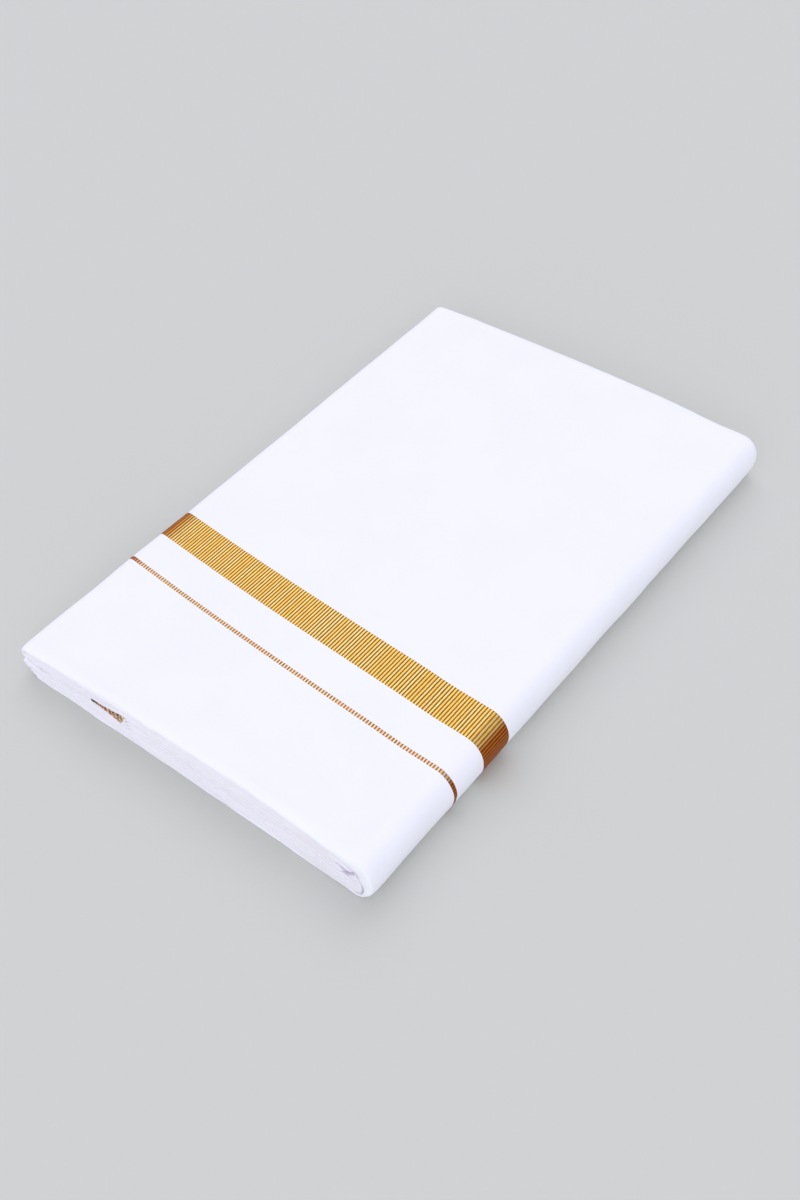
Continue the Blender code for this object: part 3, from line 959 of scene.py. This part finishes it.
def stripEnds(name, side, seed):
    near = side < 0
    points, uvs, faces, sunk = [], [], [], []
    first = 0
    for number, (route, level) in enumerate(stripRoutes(near)):
        gaps = np.hypot(*np.diff(route[:, :2], axis=0).T)
        keep = np.concatenate([[True], gaps > 1e-5])
        route, level = route[keep], level[keep]
        level = np.convolve(np.pad(level, 3, mode="edge"), np.ones(7) / 7, "valid")
        run = np.concatenate([[0.0], np.cumsum(np.hypot(*np.diff(route[:, :2], axis=0).T))])
        alongX, alongZ = np.gradient(route[:, 0]), np.gradient(route[:, 1])
        length = np.maximum(np.hypot(alongX, alongZ), 1e-9)
        normalX, normalZ = -alongZ / length, alongX / length
        slow = softWaves(seed + number, 0.030, 0.240)(run)
        quick = softWaves(seed + 10 + number, 0.006, 0.030)(run)
        dentPlace = 0.55 * softWaves(seed + 20 + number, 0.050, 0.300)(run)
        dentSize = np.clip(0.5 + 0.8 * softWaves(seed + 30 + number, 0.020, 0.150)(run), 0, 1.4)
        # By the spine the near side's layers are pressed into one another
        loose = 1 - (ease((route[:, 0] - 0.058) / 0.026) if near else 0)
        half = route[:, 2] / 2 * (ends["filled"] * loose + 1.02 * (1 - loose))
        wander = ends["uneven"] * (1 + slow * loose) + 0.00006 * quick * loose
        turns = [math.radians(angle) for angle in ends["ringAngles"]]
        ring = [(math.sin(turn), math.cos(turn)) for turn in turns]
        ring += [(1.0, None), (-1.0, None)]
        rows = []
        for across, front in ring:
            x = route[:, 0] + normalX * half * across
            z = route[:, 1] + normalZ * half * across
            if front is None:
                back = np.full(len(x), ends["depth"])
            else:
                dent = ends["dent"] * dentSize * np.exp(-(((across - dentPlace) / 0.22) ** 2))
                back = endBack(x, z, level, near) + wander + (endSunk(x, z) if near else 0)
                back = back + ends["noseReach"] * (1 - front) * (0.04 + 0.96 * loose) + dent * front * loose
            y = side * (pack["length"] / 2 - back)
            rows.append(np.stack([x, y, swayed(x, y, z)], -1))
            uvs.append(np.stack([run, back + half * across], -1))
            sunk.append(endSunk(x, z) if near else 0 * x)
        count, sides = len(run), len(ring)
        points += rows
        # Vertex (ring place r, run place i) is first + r * count + i
        for r in range(sides):
            after = (r + 1) % sides
            for i in range(count - 1):
                quad = (first + r * count + i, first + r * count + i + 1,
                        first + after * count + i + 1, first + after * count + i)
                faces.append(quad)
        faces.append(tuple(first + r * count for r in range(sides)))
        faces.append(tuple(first + r * count + count - 1 for r in reversed(range(sides))))
        first += count * sides
    points = np.concatenate(points)
    uvs = np.concatenate(uvs)
    piece = newMesh(name, points, faces, uvs, [shadedEndCotton], sunk=np.concatenate(sunk))
    faceOut(piece)
    return piece


def faceOut(piece):
    bpy.context.view_layer.objects.active = piece
    bpy.ops.object.mode_set(mode="EDIT")
    bpy.ops.mesh.select_all(action="SELECT")
    bpy.ops.mesh.normals_make_consistent(inside=False)
    bpy.ops.object.mode_set(mode="OBJECT")
    crisp(piece)


foldEndsNear = stripEnds("foldEndsNear", -1, 40)
declare(foldEndsNear, "hidden_layers")
foldEndsFar = stripEnds("foldEndsFar", 1, 80)
declare(foldEndsFar, "hidden_layers")
print("strip ends made")

# The inner fold of the border in the lens


def innerBorder():
    points, uvs, faces = [], [], []
    first = 0
    steps = innerFold["ringSteps"]
    x = np.linspace(innerFold["start"], innerFold["end"], innerFold["stations"])
    high, low = nearSeamHeight(x, 1) + 0.0002, nearSeamHeight(x, 2) - 0.0002
    seam = (high + low) / 2
    for number, (bottom, top) in enumerate(((low, seam + 0.0001), (seam - 0.0001, high))):
        for step in range(steps):
            angle = math.pi * step / (steps - 1)
            z = (bottom + top) / 2 + (top - bottom) / 2 * math.cos(angle)
            along = x + innerFold["lean"] * (z - seam) * (1 - 2 * number) + 0.0009 * number
            crest = np.sin(math.pi * ((along / innerFold["pitch"]) % 1.0)) ** 0.7
            back = 0.0006 + innerFold["recess"] + 0.0002 * number + 0.0009 * (1 - math.sin(angle))
            back = back - 0.00040 * crest * math.sin(angle)
            if step in (0, steps - 1):
                back = back + innerFold["length"]
            y = -pack["length"] / 2 + back + 0 * x
            points.append(np.stack([x, y, swayed(x, y, z)], -1))
            uvs.append(np.stack([along, z + 0 * x], -1))
        count = len(x)
        for r in range(steps):
            after = (r + 1) % steps
            for i in range(count - 1):
                faces.append((first + r * count + i, first + r * count + i + 1,
                              first + after * count + i + 1, first + after * count + i))
        faces.append(tuple(first + r * count for r in range(steps)))
        faces.append(tuple(first + r * count + count - 1 for r in reversed(range(steps))))
        first += count * steps
    piece = newMesh("innerZari", np.concatenate(points), faces, np.concatenate(uvs), [innerGold])
    faceOut(piece)
    return piece


innerZari = innerBorder()
declare(innerZari, "inner_zari")
print("inner border made")

# Floor, light and camera

studio = {
    "floorSize": 8.0,
    "floorColor": (0.644, 0.657, 0.603),
    "dome": 0.69,
    "light": (0.985, 0.985, 1.10),  # colour of all the light
    "key": {"toward": (-0.41, 0.54, 0.74), "strength": 0.66, "angle": 50},
    "fill": {"toward": (0.38, -0.78, 0.50), "strength": 0.94, "angle": 60},
}

floorFinish = Finish("palePaper", Roughness=0.9)
floorFinish.set("Specular IOR Level", 0.1)
grain = floorFinish.noise(floorFinish.place("pack")[0], 900.0, 2.0)
floorFinish.set("Base Color", floorFinish.mix(
    grain, tuple(c * 0.995 for c in studio["floorColor"]), tuple(c * 1.005 for c in studio["floorColor"])))
bpy.ops.mesh.primitive_plane_add(size=studio["floorSize"], location=(0, 0, 0))
floor = bpy.context.object
floor.name = "floor"
bpy.ops.object.mode_set(mode="EDIT")
bpy.ops.mesh.subdivide(number_cuts=3)
bpy.ops.object.mode_set(mode="OBJECT")
floor.data.materials.append(floorFinish.material)

world = bpy.context.scene.world or bpy.data.worlds.new("studio")
bpy.context.scene.world = world
world.use_nodes = True
world.node_tree.nodes["Background"].inputs["Color"].default_value = (*studio["light"], 1.0)
world.node_tree.nodes["Background"].inputs["Strength"].default_value = studio["dome"]
for name in ("key", "fill"):
    light = bpy.data.lights.new(name, "SUN")
    light.energy = studio[name]["strength"]
    light.color = studio["light"]
    light.angle = math.radians(studio[name]["angle"])
    lamp = bpy.data.objects.new(name, light)
    toX, toY, toZ = studio[name]["toward"]
    lamp.rotation_euler = (math.atan2(math.hypot(toX, toY), toZ), 0, math.atan2(toY, toX) + math.pi / 2)
    bpy.context.scene.collection.objects.link(lamp)

view = {"place": (0.35713, -0.48017, 0.62790), "around": 37.32, "down": 47.64, "lens": 45.0, "sensor": 36.0}
camera = bpy.data.objects.new("camera", bpy.data.cameras.new("camera"))
camera.data.lens = view["lens"]
camera.data.sensor_width = view["sensor"]
camera.data.sensor_fit = "AUTO"
camera.data.clip_end = 50
camera.location = view["place"]
camera.rotation_euler = (math.radians(90 - view["down"]), 0, math.radians(view["around"]))
bpy.context.scene.collection.objects.link(camera)
bpy.context.scene.camera = camera
bpy.context.scene.view_settings.view_transform = "Standard"
print("studio made")

bpy.context.view_layer.update()
